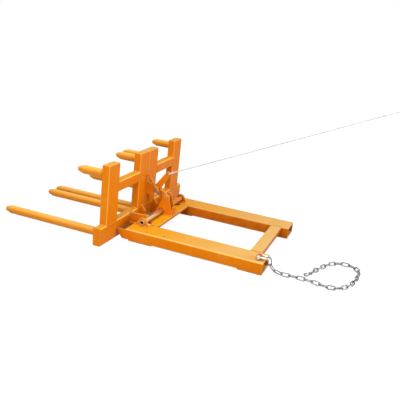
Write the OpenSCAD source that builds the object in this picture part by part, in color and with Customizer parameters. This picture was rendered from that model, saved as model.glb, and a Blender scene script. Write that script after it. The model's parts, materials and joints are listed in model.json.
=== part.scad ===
// Fork mounted twin drum rotator.
// A fork frame slides over a pair of forks. A tilting head with round tines hangs on a
// cross shaft at its front, and a sprung latch worked by a release cord holds it upright.
// +X points along the tines, +Y to the left of someone driving forward, +Z up.
// The origin is under the head's bottom beam, on the ground, 25 mm in front of its back.

/* [Head] */
// Length of the bottom beam
beam_len = 1370; // [1250:10:1500]
// Height of the bottom beam
beam_h = 130; // [110:5:140]
// Depth of the beam, the posts and the upper bars
head_d = 60; // [50:5:70]
// Width of one post
post_w = 150; // [120:5:160]
// Height of the tops of the posts above the ground
post_top = 550; // [520:5:600]
// Middle of an outer post, from the centre line
outer_post_y = 538; // [500:1:580]
// Height of the underside of the upper bars
bar_low = 340; // [320:2:350]
// Height of the upper bars' section
bar_h = 75; // [60:1:90]
// Wall of the box sections
box_wall = 5; // [3:0.5:8]

/* [Tines] */
// Diameter of every tine
tine_d = 60; // [50:1:64]
// Wall of the tines' tubes
tine_wall = 12; // [8:1:16]
// Length of the lower tines in front of the head
lower_tine_len = 805; // [700:5:900]
// Length of the upper tines in front of the head
upper_tine_len = 200; // [180:5:300]
// Height of the lower tines' axes
lower_tine_z = 58; // [44:1:64]
// Height of the upper tines' axes
upper_tine_z = 485; // [460:5:510]
// Distance of the outer tines from the centre line
outer_tine_y = 580; // [540:1:600]
// Distance of the inner tines from the centre line
inner_tine_y = 55; // [36:1:80]

/* [Fork frame] */
// Outside width of one fork sleeve
sleeve_w = 180; // [170:2:200]
// Middle of a sleeve, from the centre line
sleeve_y = 382; // [370:1:400]
// Height of the sleeves' top faces
sleeve_top = 85; // [80:1:95]
// Plate thickness of the sleeves
sleeve_wall = 8; // [6:0.5:10]
// Rear ends of the sleeves
sleeve_rear = -1105; // [-1300:5:-1000]
// Front ends of the sleeves' top plates
sleeve_front = -100; // [-110:1:-90]
// Gap between the sleeves' round noses and the head's beam
nose_gap = 5; // [4:1:8]
// Thickness of the straps under the sleeves
strap_t = 8; // [6:1:9]
// Thickness of the cross plates
plate_t = 15; // [12:1:20]
// Width of the rear cross plate
rear_plate_w = 80; // [60:5:100]
// Rear edge of the rear cross plate
rear_plate_x = -1050; // [-1060:5:-900]
// Rear and front edges of the front cross plate
front_plate_x = [-270, -125];

/* [Tilt hinge] */
// Axis of the tilt shaft
hinge_x = -172; // [-176:1:-168]
// Height of the tilt shaft's axis
hinge_z = 114; // [112:1:118]
// Diameter of the tilt shaft
shaft_d = 40; // [36:1:42]
// Bore of the tilt shaft, which is a tube
shaft_bore = 28; // [20:1:30]
// Running clearance of the shaft in its bushes, on the radius
running_gap = 0.05; // [0.02:0.01:0.1]

/* [Latch] */
// Axis of the catch pin
catch_x = -198; // [-200:1:-196]
// Height of the catch pin's axis
catch_z = 226; // [224:1:230]
// Diameter of the catch pin
catch_d = 16; // [14:1:16]
// Axis of the latch lever
lever_x = -100; // [-102:1:-98]
// Height of the latch lever's axis
lever_z = 266; // [264:1:268]
// Diameter of the lever's pivot pin
lever_pin_d = 20; // [16:1:22]
// Thickness of the latch lever
lever_t = 15; // [12:1:16]
// Eye of the release cord, in x and z
cord_eye = [-186, 400];
// Diameter of the release cord
cord_d = 8; // [6:1:10]

/* [Safety chain] */
// Wire of the chain links
link_wire = 8; // [6:1:8]
// Pitch of the chain links
link_pitch = 52; // [48:1:54]
// Outside width of a link
link_w = 32; // [32:1:34]
// Play between one link and the next
link_play = 1.5; // [1:0.5:2]

/* [Hidden] */
fine = 64;
eps = 0.01;

head_back = -25;
head_front = head_back + head_d;
head_mid = (head_back + head_front) / 2;
sleeve_in = sleeve_y - sleeve_w / 2;
sleeve_out = sleeve_y + sleeve_w / 2;
rear_plate_front = rear_plate_x + rear_plate_w;
window_y = outer_post_y - post_w / 2;
bar_top = bar_low + bar_h;
sides = [-1, 1];

// hinge parts, by their distance from the centre line
lug_t = 16;
lug_y = 352;
lug_r = 34;
arm_t = 18;
arm_y = 262;
arm_r = 26;
bush_r = 25;
flange_t = 3;
washer_t = 4;
shaft_pin_d = 8;
shaft_pin_y = lug_y - lug_t / 2 - flange_t - washer_t - shaft_pin_d / 2 - 0.5;
shaft_len = 2 * (lug_y + lug_t / 2 + 8);

// latch parts
ear_t = 12;
ear_gap = 2;
ear_in = lever_t / 2 + ear_gap;
ear_r = 26;
catch_t = 12;
catch_in = 24;
catch_r = 24;
catch_base = [-266, -129];
catch_run = norm([catch_x - lever_x, catch_z - lever_z]);
catch_dir = atan2(catch_z - lever_z, catch_x - lever_x);
throat_gap = 0.8;
throat_in = catch_run - catch_d / 2 - 1.5;
throat_out = catch_run + catch_d / 2 + throat_gap;
nose_t = 14;
hook_r = throat_out + nose_t;
nose_h = 8;
spring_pin_run = 49;
spring_y = 44;
spring_lever = [lever_x + spring_pin_run * cos(catch_dir), lever_z + spring_pin_run * sin(catch_dir)];
spring_post = [-47, 372];
spring_r = 8.5;
spring_wire = 3;
spring_coils = 22;

// release cord: a loop through the lever's eye, a knot, and a straight taut run
cord_far = [-1833, 1172];
cord_slope = atan2(cord_far[1] - cord_eye[1], cord_far[0] - cord_eye[0]);
cord_run = norm(cord_far - cord_eye);
loop_r = 14;
knot_r = 9;
knot_run = 2 * loop_r + knot_r + 1;
far_loop_r = 32;

// chain: the first links hang from the shackle and the rest lie on the ground
lug_eye = [-1062, sleeve_top + 22];
lug_eye_y = 412;
shackle_wire = 12;
shackle_in = 28;
shackle_len = 66;
chain_step = link_pitch - link_play;

paint = [0.93, 0.55, 0.04];
steel = [0.80, 0.80, 0.78];
zinc = [0.75, 0.77, 0.79];
bronze = [0.72, 0.53, 0.28];
rope = [0.92, 0.90, 0.86];

// Shared shapes

// A rectangle with round corners, centred on the origin
module round_rect(size, r) {
    square([size[0] - 2 * r, size[1]], center = true);
    square([size[0], size[1] - 2 * r], center = true);
    for (x = sides, y = sides)
        translate([x * (size[0] / 2 - r), y * (size[1] / 2 - r)]) circle(r, $fn = fine);
}

// A box section, standing on z = 0
module box_section(size, length, wall = box_wall) {
    linear_extrude(length)
        difference() {
            round_rect(size, 2 * wall);
            round_rect([size[0] - 2 * wall, size[1] - 2 * wall], wall);
        }
}

// Turns a shape drawn in x and z so that its thickness runs along y, centred on y
module side_plate(t, y) {
    translate([0, y + t / 2, 0]) rotate([90, 0, 0]) linear_extrude(t) children();
}

// A round bar along y between two values of y
module cross_bar(x, z, d, y0, y1) {
    translate([x, y0, z]) rotate([-90, 0, 0]) cylinder(h = y1 - y0, d = d, $fn = fine);
}

// A ring of round wire in the plane of x and y
module wire_ring(r, wire, turn = 360) {
    rotate_extrude(angle = turn, $fn = fine) translate([r, 0]) circle(d = wire, $fn = 24);
}

// Head

module bottom_beam() {
    color(paint)
        translate([head_mid, -beam_len / 2, beam_h / 2]) rotate([-90, 0, 0])
            box_section([head_d, beam_h], beam_len);
}

module beam_end_caps() {
    color(paint)
        for (side = sides)
            translate([head_mid, side * (beam_len / 2 - 3), beam_h / 2]) rotate([90, 0, 0])
                linear_extrude(6, center = true)
                    round_rect([head_d - 2 * box_wall, beam_h - 2 * box_wall], box_wall);
}

module post(y) {
    color(paint)
        translate([head_mid, y, beam_h]) box_section([head_d, post_w], post_top - beam_h);
}

module outer_post_left() { post(outer_post_y); }
module outer_post_right() { post(-outer_post_y); }
module middle_post_left() { post(post_w / 2); }
module middle_post_right() {
    difference() {
        post(-post_w / 2);
        translate([head_back - 1, -24, 182]) rotate([0, 90, 0])
            cylinder(h = box_wall + 2, d = 24, $fn = fine);
    }
}

module post_caps() {
    color(paint)
        for (y = [-outer_post_y, -post_w / 2, post_w / 2, outer_post_y])
            translate([head_mid, y, post_top - 5])
                linear_extrude(5) round_rect([head_d - 2 * box_wall, post_w - 2 * box_wall], box_wall);
}

module upper_bar(side) {
    bar_len = window_y - post_w;
    color(paint)
        translate([head_mid, side * (post_w + window_y) / 2 - bar_len / 2, bar_low + bar_h / 2])
            rotate([-90, 0, 0]) box_section([head_d, bar_h], bar_len);
}

module upper_bar_left() { upper_bar(1); }
module upper_bar_right() { upper_bar(-1); }

// A round bar with a bullet nose, starting at the head's front face
module tine(y, z, length) {
    nose = 46;
    tip_r = 14;
    color(paint)
        translate([head_front, y, z]) rotate([0, 90, 0]) {
            difference() {
                cylinder(h = length - nose, d = tine_d, $fn = fine);
                translate([0, 0, -1])
                    cylinder(h = length - nose - 19, d = tine_d - 2 * tine_wall, $fn = fine);
            }
            translate([0, 0, length - nose])
                cylinder(h = nose - tip_r * 0.6, r1 = tine_d / 2, r2 = tip_r + 4, $fn = fine);
            translate([0, 0, length - tip_r * 0.6])
                cylinder(h = tip_r * 0.6, r1 = tip_r + 4, r2 = tip_r - 4, $fn = fine);
        }
}

module lower_tine_outer_left() { tine(outer_tine_y, lower_tine_z, lower_tine_len); }
module lower_tine_inner_left() { tine(inner_tine_y, lower_tine_z, lower_tine_len); }
module lower_tine_inner_right() { tine(-inner_tine_y, lower_tine_z, lower_tine_len); }
module lower_tine_outer_right() { tine(-outer_tine_y, lower_tine_z, lower_tine_len); }
module upper_tine_outer_left() { tine(outer_tine_y, upper_tine_z, upper_tine_len); }
module upper_tine_inner_left() { tine(inner_tine_y, upper_tine_z, upper_tine_len); }
module upper_tine_inner_right() { tine(-inner_tine_y, upper_tine_z, upper_tine_len); }
module upper_tine_outer_right() { tine(-outer_tine_y, upper_tine_z, upper_tine_len); }

// Arms from the beam back to the tilt shaft, each welded to the shaft's front by a saddle
module hinge_arm(side) {
    color(paint)
        side_plate(arm_t, side * arm_y)
            difference() {
                polygon([
                    [hinge_x, hinge_z + arm_r], [head_back - 40, beam_h + 4], [head_back, beam_h + 4],
                    [head_back, 32], [head_back - 25, 32], [hinge_x + 50, hinge_z - arm_r],
                    [hinge_x, hinge_z - arm_r]
                ]);
                translate([hinge_x, hinge_z]) circle(d = shaft_d, $fn = fine);
            }
}

module hinge_arm_left() { hinge_arm(1); }
module hinge_arm_right() { hinge_arm(-1); }

// Stiffening ribs low on the back of the middle posts
module post_ribs() {
    color(paint)
        for (side = sides)
            side_plate(10, side * 106)
                polygon([
                    [head_back, beam_h + 20], [head_back - 10, beam_h + 20], [head_back - 48, beam_h - 18],
                    [head_back - 48, 44], [head_back - 30, 30], [head_back, 30]
                ]);
}

module latch_ears() {
    color(paint)
        for (side = sides)
            side_plate(ear_t, side * (ear_in + ear_t / 2))
                difference() {
                    union() {
                        translate([lever_x, lever_z]) circle(ear_r, $fn = fine);
                        polygon([
                            [head_back, 214], [head_back, 322], [lever_x, lever_z + ear_r],
                            [lever_x, lever_z - ear_r]
                        ]);
                    }
                    translate([lever_x, lever_z]) circle(lever_pin_d / 2, $fn = fine);
                }
}

module latch_pivot_pin() {
    end = ear_in + ear_t;
    color(zinc) {
        cross_bar(lever_x, lever_z, lever_pin_d, -end - 6, end);
        cross_bar(lever_x, lever_z, lever_pin_d + 8, end, end + 5);
    }
}

module latch_washers() {
    color(zinc)
        for (side = sides)
            side_plate(ear_gap - 0.4, side * (lever_t / 2 + ear_gap / 2))
                translate([lever_x, lever_z])
                    difference() {
                        circle(lever_pin_d / 2 + 8, $fn = fine);
                        circle(lever_pin_d / 2, $fn = fine);
                    }
}

// Bent plate on the post that the top of the latch spring hooks on
module spring_hook_post() {
    color(paint)
        side_plate(6, spring_y)
            difference() {
                union() {
                    translate(spring_post) circle(11, $fn = fine);
                    translate([spring_post[0], spring_post[1] - 11])
                        square([head_back - spring_post[0], 22]);
                }
                translate(spring_post) circle(4, $fn = fine);
            }
}

// Fork frame

// Inverted channel. Its side walls run on in front of the top plate, and end in a nose
// that is struck from the tilt shaft, so the head's beam rolls past it.
module fork_sleeve(side) {
    height = sleeve_top - strap_t;
    bend = sleeve_wall + 4;
    nose_r = head_back - hinge_x - nose_gap;
    color(paint)
        difference() {
            intersection() {
                translate([sleeve_rear, side * sleeve_y, sleeve_top]) rotate([90, 0, 90])
                    linear_extrude(hinge_x + nose_r - sleeve_rear)
                        difference() {
                            union() {
                                translate([-sleeve_w / 2 + bend, -bend]) square([sleeve_w - 2 * bend, bend]);
                                translate([-sleeve_w / 2, -height]) square([sleeve_w, height - bend]);
                                for (s = sides)
                                    translate([s * (sleeve_w / 2 - bend), -bend]) circle(bend, $fn = fine);
                            }
                            translate([-sleeve_w / 2 + sleeve_wall, -height - 1])
                                square([sleeve_w - 2 * sleeve_wall, height + 1 - sleeve_wall]);
                        }
                side_plate(sleeve_w + 2, side * sleeve_y) {
                    translate([sleeve_rear - 1, -1]) square([hinge_x - sleeve_rear + 1, sleeve_top + 2]);
                    translate([hinge_x, hinge_z]) circle(nose_r, $fn = 180);
                }
            }
            translate([sleeve_front, side * sleeve_y - sleeve_w, sleeve_top - sleeve_wall])
                cube([150, 2 * sleeve_w, 2 * sleeve_wall]);
            for (x = [-384, -246])
                translate([x, side * (sleeve_y + 56), sleeve_top - 2 * sleeve_wall])
                    cylinder(h = 3 * sleeve_wall, d = 14, $fn = fine);
        }
}

module fork_sleeve_left() { fork_sleeve(1); }
module fork_sleeve_right() { fork_sleeve(-1); }

// Flat straps that close the sleeves' undersides
module sleeve_straps(x, length) {
    color(paint)
        for (side = sides)
            translate([x, side * sleeve_y - sleeve_w / 2, 0]) cube([length, sleeve_w, strap_t]);
}

module front_straps() { sleeve_straps(-305, 180); }
module rear_straps() { sleeve_straps(sleeve_rear, 170); }

module cross_plate(x0, x1) {
    color(paint)
        translate([x0, -sleeve_in, sleeve_top - plate_t]) cube([x1 - x0, 2 * sleeve_in, plate_t]);
}

// The front plate reaches under the tilt shaft, with a notch for each of the head's arms
module front_cross_plate() {
    notch_in = arm_y - arm_t / 2 - 6;
    difference() {
        cross_plate(front_plate_x[0], front_plate_x[1]);
        for (side = sides)
            translate([hinge_x - arm_r - 6, side * (notch_in + sleeve_in) / 2, sleeve_top - plate_t / 2])
                translate([50, 0, 0]) cube([100, sleeve_in - notch_in + eps, 2 * plate_t], center = true);
    }
}
module rear_cross_plate() { cross_plate(rear_plate_x, rear_plate_front); }

module shaft_lug(side) {
    color(paint)
        side_plate(lug_t, side * lug_y)
            difference() {
                union() {
                    translate([hinge_x, hinge_z]) circle(lug_r, $fn = fine);
                    translate([hinge_x - 52, sleeve_top]) square([104, 6]);
                    polygon([
                        [hinge_x - 52, sleeve_top + 6], [hinge_x + 52, sleeve_top + 6],
                        [hinge_x + 25, hinge_z + 23], [hinge_x - 25, hinge_z + 23]
                    ]);
                }
                translate([hinge_x, hinge_z]) circle(bush_r, $fn = fine);
                translate([hinge_x - 100, sleeve_top - 50]) square([200, 50]);
            }
}

module shaft_lug_left() { shaft_lug(1); }
module shaft_lug_right() { shaft_lug(-1); }

// Flanged bush in each lug, with its flange on the inner side
module hinge_bush(side) {
    color(bronze)
        translate([hinge_x, side * lug_y, hinge_z]) rotate([side * 90, 0, 0])
            difference() {
                union() {
                    translate([0, 0, -lug_t / 2]) cylinder(h = lug_t, r = bush_r, $fn = fine);
                    translate([0, 0, lug_t / 2]) cylinder(h = flange_t, r = bush_r + 3, $fn = fine);
                }
                translate([0, 0, -lug_t]) cylinder(h = 3 * lug_t, r = shaft_d / 2 + running_gap, $fn = fine);
            }
}

module hinge_bush_left() { hinge_bush(1); }
module hinge_bush_right() { hinge_bush(-1); }

// Bright tube that turns with the head
module tilt_shaft() {
    color(steel)
        difference() {
            cross_bar(hinge_x, hinge_z, shaft_d, -shaft_len / 2, shaft_len / 2);
            cross_bar(hinge_x, hinge_z, shaft_bore, -shaft_len / 2 - 1, shaft_len / 2 + 1);
            for (side = sides)
                translate([hinge_x - shaft_d, side * shaft_pin_y, hinge_z]) rotate([0, 90, 0])
                    cylinder(h = 2 * shaft_d, d = shaft_pin_d, $fn = fine);
        }
}

module shaft_washers() {
    color(zinc)
        for (side = sides)
            side_plate(washer_t - 0.4, side * (lug_y - lug_t / 2 - flange_t - washer_t / 2))
                translate([hinge_x, hinge_z])
                    difference() {
                        circle(shaft_d / 2 + 6, $fn = fine);
                        circle(shaft_d / 2, $fn = fine);
                    }
}

// Roll pins that keep the shaft from walking out of its lugs
module shaft_pins() {
    length = shaft_d + 8;
    color(zinc)
        for (side = sides)
            translate([hinge_x - length / 2, side * shaft_pin_y, hinge_z]) rotate([0, 90, 0])
                cylinder(h = length, d = shaft_pin_d, $fn = fine);
}

// Catch for the latch, standing on the front cross plate. The shaft passes through it.
module catch_plate(side) {
    color(paint)
        side_plate(catch_t, side * (catch_in + catch_t / 2))
            difference() {
                union() {
                    translate([catch_x, catch_z]) circle(catch_r, $fn = fine);
                    polygon([
                        [catch_base[0], sleeve_top], [catch_base[1], sleeve_top],
                        [catch_base[1], sleeve_top + 26], [catch_base[1] - 16, sleeve_top + 70],
                        [catch_x + catch_r * cos(-18), catch_z + catch_r * sin(-18)],
                        [catch_x - catch_r * cos(-22), catch_z - catch_r * sin(-22)]
                    ]);
                }
                translate([catch_x, catch_z]) circle(catch_d / 2, $fn = fine);
                translate([hinge_x, hinge_z]) circle(shaft_d / 2 + 1.5, $fn = fine);
            }
}

module catch_plate_left() { catch_plate(1); }
module catch_plate_right() { catch_plate(-1); }

module catch_web() {
    color(paint)
        translate([catch_base[0], -catch_in, sleeve_top]) cube([10, 2 * catch_in, 70]);
}

module catch_pin() {
    end = catch_in + catch_t;
    color(steel)
        difference() {
            union() {
                cross_bar(catch_x, catch_z, catch_d, -end - 10, end + 4);
                cross_bar(catch_x, catch_z, catch_d + 10, end, end + 5);
            }
            cross_bar(catch_x, catch_z, catch_d - 7, -end - 11, end + 6);
            catch_clip_bar(1);
        }
}

// Split pin through the right end of the catch pin
module catch_clip_bar(extra) {
    translate([catch_x, -catch_in - catch_t - 5, catch_z - 16 - extra])
        cylinder(h = 32 + 2 * extra, d = 4, $fn = fine);
}

module catch_pin_clips() {
    color(zinc) catch_clip_bar(0);
}

// Latch

// The lever's hook arm, drawn with its pivot at the origin and the catch pin along +x.
// The slot's flanks are struck from the pivot, so the hook can swing off the pin.
module hook_arm() {
    seat_r = (throat_out - throat_in) / 2;
    difference() {
        intersection() {
            circle(hook_r, $fn = 180);
            polygon([
                [0, -22], [throat_in, -15], [throat_out + 3, -nose_h], [hook_r + 2, 8],
                [hook_r + 2, 30], [hook_r - 22, 46], [10, 25], [0, 25]
            ]);
        }
        intersection() {
            difference() {
                circle(throat_out, $fn = 180);
                circle(throat_in, $fn = 180);
            }
            translate([throat_in - 10, -40]) square([40, 40]);
        }
        translate([(throat_in + throat_out) / 2, 0]) circle(seat_r, $fn = fine);
    }
}

// Tapered upper arm, drawn with the pivot at the origin and the cord's eye along +x
module pull_arm() {
    reach = norm([cord_eye[0] - lever_x, cord_eye[1] - lever_z]);
    tip_r = 18;
    polygon([[0, -ear_r], [reach, -tip_r], [reach, tip_r], [0, ear_r]]);
    translate([reach, 0]) circle(tip_r, $fn = fine);
}

module latch_lever() {
    color(paint)
        side_plate(lever_t, 0)
            difference() {
                union() {
                    translate([lever_x, lever_z]) {
                        circle(ear_r, $fn = fine);
                        rotate(catch_dir) hook_arm();
                        rotate(atan2(cord_eye[1] - lever_z, cord_eye[0] - lever_x)) pull_arm();
                    }
                }
                translate([lever_x, lever_z]) circle(lever_pin_d / 2 + 4, $fn = fine);
                translate(cord_eye) circle(7, $fn = fine);
            }
}

module lever_bush() {
    color(bronze)
        side_plate(lever_t, 0)
            translate([lever_x, lever_z])
                difference() {
                    circle(lever_pin_d / 2 + 4, $fn = fine);
                    circle(lever_pin_d / 2 + running_gap, $fn = fine);
                }
}

module spring_pin() {
    color(zinc) {
        cross_bar(spring_lever[0], spring_lever[1], 10, lever_t / 2, spring_y + 8);
        cross_bar(spring_lever[0], spring_lever[1], 15, spring_y + 8, spring_y + 11);
    }
}

// Close wound extension spring: its coils, an eye through the post's plate and one on the pin
module latch_spring() {
    run = norm(spring_post - spring_lever);
    slope = atan2(spring_lever[1] - spring_post[1], spring_lever[0] - spring_post[0]);
    eye_r = 8.5;
    eye_end = 2 * eye_r + spring_wire / 2;
    pin_play = eye_r - spring_wire / 2 - 5;
    coils_start = eye_end - spring_wire / 2;
    coils_len = run - pin_play - 2 * coils_start + eye_r;
    color(zinc)
        translate([spring_post[0], spring_y, spring_post[1]]) rotate([0, -slope, 0]) {
            translate([eye_r - 1, 0, 0]) wire_ring(eye_r, spring_wire);
            for (i = [0:spring_coils - 1])
                translate([coils_start + (i + 0.5) * coils_len / spring_coils, 0, 0])
                    rotate([0, 90, 0]) wire_ring(spring_r, spring_wire);
            translate([run - pin_play, 0, 0]) rotate([90, 0, 0]) wire_ring(eye_r, spring_wire);
        }
}

// Release cord

module along_cord() {
    translate([cord_eye[0], 0, cord_eye[1]]) rotate([0, -cord_slope, 0]) children();
}

function ring_point(x, k) = [x, cord_d / 2 * cos(k * 45), cord_d / 2 * sin(k * 45)];

module release_cord() {
    start = knot_run + knot_r - 1;
    rings = 24;
    span = cord_run - 2 * far_loop_r - 2 * knot_r - start;
    points = [for (i = [0:rings], k = [0:7]) ring_point(start + span * i / rings, k)];
    faces = concat(
        [[for (k = [0:7]) k]],
        [for (i = [0:rings - 1], k = [0:7])
            [i * 8 + k, (i + 1) * 8 + k, (i + 1) * 8 + (k + 1) % 8, i * 8 + (k + 1) % 8]],
        [[for (k = [7:-1:0]) rings * 8 + k]]
    );
    color(rope) along_cord() polyhedron(points, faces);
}

module cord_eye_loop() {
    color(rope)
        along_cord() {
            translate([loop_r, 0, 0]) wire_ring(loop_r, cord_d);
            translate([knot_run, 0, 0]) sphere(knot_r, $fn = 32);
        }
}

module cord_far_loop() {
    color(rope)
        along_cord() {
            translate([cord_run - 2 * far_loop_r - knot_r, 0, 0]) sphere(knot_r, $fn = 32);
            translate([cord_run - far_loop_r, 0, 0]) rotate([90, 0, 0])
                wire_ring(far_loop_r, cord_d);
        }
}

// Safety chain

module chain_lug() {
    color(paint)
        side_plate(12, lug_eye_y)
            difference() {
                union() {
                    translate(lug_eye) circle(20, $fn = fine);
                    translate([lug_eye[0] - 28, sleeve_top]) square([56, 8]);
                    translate([lug_eye[0] - 20, sleeve_top]) square([40, lug_eye[1] - sleeve_top]);
                }
                translate(lug_eye) circle(9, $fn = fine);
                translate([lug_eye[0] - 50, sleeve_top - 40]) square([100, 40]);
            }
}

// Bow shackle: two eyes on the pin, two straight sides and a round bow at the rear
module shackle_bow() {
    half = shackle_in / 2 + shackle_wire / 2;
    reach = shackle_len - half;
    color(zinc)
        translate([lug_eye[0], lug_eye_y, lug_eye[1]]) {
            for (side = sides) {
                side_plate(shackle_wire, side * half)
                    difference() {
                        circle(14, $fn = fine);
                        circle(7, $fn = fine);
                    }
                translate([-12, side * half, 0]) rotate([0, -90, 0])
                    cylinder(h = reach - 12, d = shackle_wire, $fn = 32);
            }
            translate([-reach, 0, 0]) rotate([0, 0, 90]) wire_ring(half, shackle_wire, 180);
        }
}

module shackle_pin() {
    half = shackle_in / 2 + shackle_wire;
    color(zinc) {
        cross_bar(lug_eye[0], lug_eye[1], 14, lug_eye_y - half - 6, lug_eye_y + half);
        cross_bar(lug_eye[0], lug_eye[1], 22, lug_eye_y + half, lug_eye_y + half + 7);
    }
}

// One link of round wire, its length along x and its width along y
module chain_link() {
    end_r = (link_w - link_wire) / 2;
    straight = link_pitch + link_wire - 2 * end_r;
    for (side = sides) {
        translate([-straight / 2, side * end_r, 0]) rotate([0, 90, 0])
            cylinder(h = straight, d = link_wire, $fn = 24);
        translate([side * straight / 2, 0, 0]) rotate([0, 0, side < 0 ? 90 : -90])
            wire_ring(end_r, link_wire, 180);
    }
}

// Heading of each link over the ground and its pitch below the level, in degrees, by hand
chain_heading = [
    180, 192, 192, 188, 184, 180, 174, 166, 168, 192, 216, 236, 248, 256,
    260, 264, 268, 276, 304, 332, 2, 30, 50, 62, 68, 70, 72, 74
];
chain_drop = [76, 46, 16.5];
last_link = len(chain_heading) - 1;
last_rise = 4;
bow_x = lug_eye[0] - shackle_len;
first_hang = (link_pitch + link_wire) / 2 - (shackle_wire + link_wire) / 2 - 0.4;
function link_drop(i) = i < len(chain_drop) ? chain_drop[i] : i == last_link - 1 ? -last_rise : 0;
function link_dir(i) = [
    cos(chain_heading[i]) * cos(link_drop(i)),
    sin(chain_heading[i]) * cos(link_drop(i)),
    -sin(link_drop(i))
];
function link_pos(i) = i == 0
    ? [bow_x, lug_eye_y, lug_eye[1]] + first_hang * link_dir(0)
    : link_pos(i - 1) + chain_step / 2 * (link_dir(i - 1) + link_dir(i));
function link_roll(i) = i == last_link ? 62 : (i % 2 == 0 ? 90 : 0) + min(i, 3) * 15;

module safety_chain() {
    color(zinc)
        for (i = [0:last_link])
            translate(link_pos(i))
                rotate([0, link_drop(i), chain_heading[i]])
                    rotate([link_roll(i), 0, 0])
                        chain_link();
}

// Grab hook on the chain's last link: an eye, a shank and a bend with a narrow throat
module chain_hook() {
    eye_r = 10;
    bend_r = 14;
    bend_x = 32;
    color(zinc)
        translate(link_pos(last_link) + chain_step / 2 * link_dir(last_link))
            rotate([0, 7.5, chain_heading[last_link]])
                translate([eye_r - 4.5, 0, 0]) {
                    wire_ring(eye_r, 8);
                    translate([eye_r - 1, 0, 0]) rotate([0, 90, 0])
                        cylinder(h = bend_x - eye_r + 2, d = 9, $fn = 32);
                    translate([bend_x, -bend_r, 0]) rotate([0, 0, -160]) wire_ring(bend_r, 10, 250);
                    translate([
                        bend_x + bend_r * cos(160), -bend_r - bend_r * sin(160), 0
                    ])
                        sphere(5, $fn = 32);
                }
}

bottom_beam();
beam_end_caps();
outer_post_left();
outer_post_right();
middle_post_left();
middle_post_right();
post_caps();
upper_bar_left();
upper_bar_right();
lower_tine_outer_left();
lower_tine_inner_left();
lower_tine_inner_right();
lower_tine_outer_right();
upper_tine_outer_left();
upper_tine_inner_left();
upper_tine_inner_right();
upper_tine_outer_right();
hinge_arm_left();
hinge_arm_right();
hinge_bush_left();
hinge_bush_right();
post_ribs();
latch_ears();
latch_pivot_pin();
latch_washers();
spring_hook_post();
fork_sleeve_left();
fork_sleeve_right();
front_straps();
rear_straps();
front_cross_plate();
rear_cross_plate();
shaft_lug_left();
shaft_lug_right();
tilt_shaft();
shaft_washers();
shaft_pins();
catch_plate_left();
catch_plate_right();
catch_web();
catch_pin();
catch_pin_clips();
latch_lever();
lever_bush();
spring_pin();
latch_spring();
release_cord();
cord_eye_loop();
cord_far_loop();
chain_lug();
shackle_bow();
shackle_pin();
safety_chain();
chain_hook();
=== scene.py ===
# %% [markdown]
# A drum rotator that slides over the forks of a truck. A welded frame carries a tilting
# head with round tines, a sprung hook latch holds the head upright, and a cord lets the
# driver release it. The construction comes packed, as a fixed frame in metres. This file
# gives it its rope, its spring, its weld seams, a stiffener and all its finishes.

# %% Load the frame
import json
import math

import bpy
import numpy as np
from mathutils import Matrix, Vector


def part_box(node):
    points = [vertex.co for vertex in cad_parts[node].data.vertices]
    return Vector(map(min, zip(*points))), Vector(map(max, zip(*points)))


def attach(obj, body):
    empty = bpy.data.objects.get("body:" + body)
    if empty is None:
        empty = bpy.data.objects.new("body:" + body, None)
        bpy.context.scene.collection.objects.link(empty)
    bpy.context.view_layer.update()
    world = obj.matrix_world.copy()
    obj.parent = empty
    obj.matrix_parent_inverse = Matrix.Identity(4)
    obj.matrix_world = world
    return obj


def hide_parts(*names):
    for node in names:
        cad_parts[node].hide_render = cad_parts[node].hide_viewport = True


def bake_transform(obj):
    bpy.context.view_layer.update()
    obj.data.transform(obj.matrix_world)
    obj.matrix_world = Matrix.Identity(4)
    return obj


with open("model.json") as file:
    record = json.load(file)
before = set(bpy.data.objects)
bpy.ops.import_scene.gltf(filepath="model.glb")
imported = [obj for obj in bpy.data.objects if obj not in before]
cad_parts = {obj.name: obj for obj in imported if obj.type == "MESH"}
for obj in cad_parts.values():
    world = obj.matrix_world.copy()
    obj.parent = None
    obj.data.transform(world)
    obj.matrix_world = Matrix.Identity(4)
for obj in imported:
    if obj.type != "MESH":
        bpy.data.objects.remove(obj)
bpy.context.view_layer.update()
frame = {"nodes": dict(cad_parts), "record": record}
SCENE = bpy.context.scene
BODY_FRAME, BODY_HEAD, BODY_LATCH = "fork_frame", "tilting_head", "latch"

# %% [markdown]
# The camera stands behind the left side, above the sleeves. Its place and angles were
# worked out from straight edges of known size. The small shift is the picture's own
# centre, a little off the lens's axis.

# %% Camera
PICTURE_PX = 400
SENSOR_MM = 36.0
EYE = np.array([-1.7437, 3.7130, 1.5236])
HEADING, PITCH, ROLL = (math.radians(a) for a in (-70.03, 19.03, 6.39))
FOCAL_PX = 550.5
CENTRE_PX = (190.25, 209.69)
CLIP_START = 0.05


def camera_axes(heading, pitch, roll):
    """Unit vectors to the front, the right and the top of the picture."""
    ahead = np.array([
        math.cos(heading) * math.cos(pitch), math.sin(heading) * math.cos(pitch), -math.sin(pitch)
    ])
    level = np.array([math.sin(heading), -math.cos(heading), 0.0])
    upright = np.cross(level, ahead)
    right = math.cos(roll) * level + math.sin(roll) * upright
    top = math.cos(roll) * upright - math.sin(roll) * level
    return ahead, right, top


def make_camera():
    """A camera whose focal length and shift are stated in the picture's own pixels."""
    ahead, right, top = camera_axes(HEADING, PITCH, ROLL)
    data = bpy.data.cameras.new("camera")
    data.sensor_width = SENSOR_MM
    data.lens = FOCAL_PX * SENSOR_MM / PICTURE_PX
    data.shift_x = (PICTURE_PX / 2 - CENTRE_PX[0]) / PICTURE_PX
    data.shift_y = (CENTRE_PX[1] - PICTURE_PX / 2) / PICTURE_PX
    data.clip_start = CLIP_START
    camera = bpy.data.objects.new("camera", data)
    camera.matrix_world = Matrix([
        [right[i], top[i], -ahead[i], EYE[i]] for i in range(3)
    ] + [[0, 0, 0, 1]])
    SCENE.collection.objects.link(camera)
    SCENE.camera = camera
    return camera


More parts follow.
